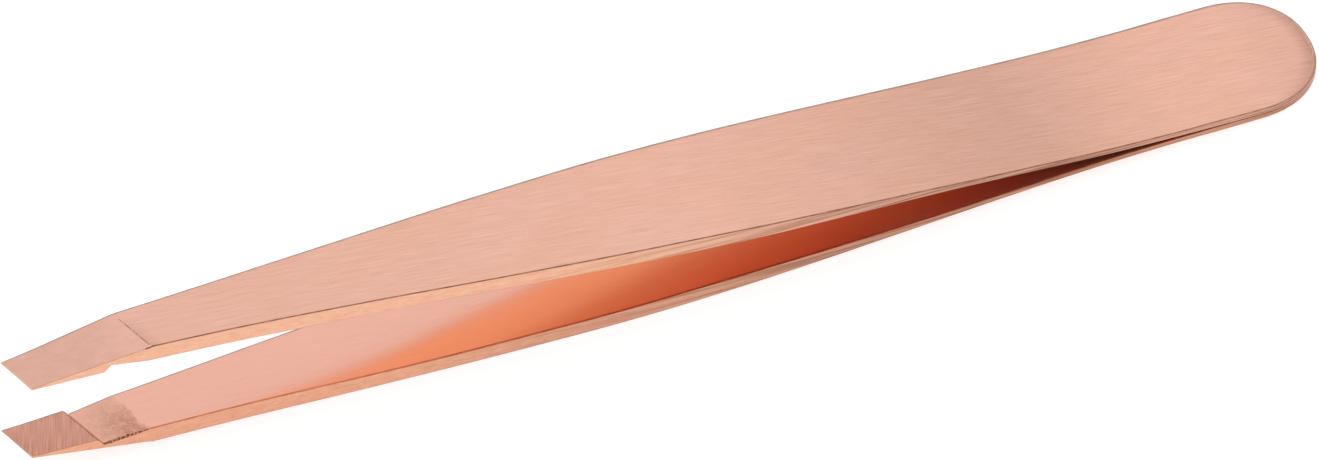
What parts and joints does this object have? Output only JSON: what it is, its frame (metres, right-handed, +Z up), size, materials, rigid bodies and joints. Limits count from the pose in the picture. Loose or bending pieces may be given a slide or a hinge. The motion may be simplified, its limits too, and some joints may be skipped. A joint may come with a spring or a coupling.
{
  "type": "slant tweezers",
  "caption": "Slim spring tweezers with a rounded welded heel, bowed flat arms and slant-cut ground tips that meet when the arms are squeezed.",
  "frame": {"origin": "centre of the base of the bounding box, with the tweezers lying on a table on the lower arm's heel end and belly", "axes": "+X from the tips towards the rounded heel end, +Y across the arms, +Z up, from the lower arm to the upper arm; the mid-plane between the arms is tilted 3.34 degrees about Y, so that the lower arm rests on the table"},
  "size_m": [0.096, 0.0104, 0.0102],
  "materials": {
    "rose_gold_steel": "rose-gold coated stainless steel, fine brushing along the length, ground tips",
    "weld_metal": "dull fused steel of the spot welds"
  },
  "bodies": {
    "heel": {"upper_arm_heel": "rose_gold_steel", "lower_arm_heel": "rose_gold_steel", "weld_nugget_rear": "weld_metal", "weld_nugget_front": "weld_metal"},
    "upper_arm": {"upper_arm_blade": "rose_gold_steel"},
    "lower_arm": {"lower_arm_blade": "rose_gold_steel"}
  },
  "joints": [
    {"name": "upper_arm_flex", "type": "hinge", "parent": "heel", "child": "upper_arm", "pos_m": [0.02811, 0, 0.00217], "axis": [0, -1, 0], "range_deg": [0, 2.45], "stiffness_Nm_per_rad": 0.95},
    {"name": "lower_arm_flex", "type": "hinge", "parent": "heel", "child": "lower_arm", "pos_m": [0.02803, 0, 0.00088], "axis": [0, 1, 0], "range_deg": [0, 2.45], "stiffness_Nm_per_rad": 0.95}
  ]
}
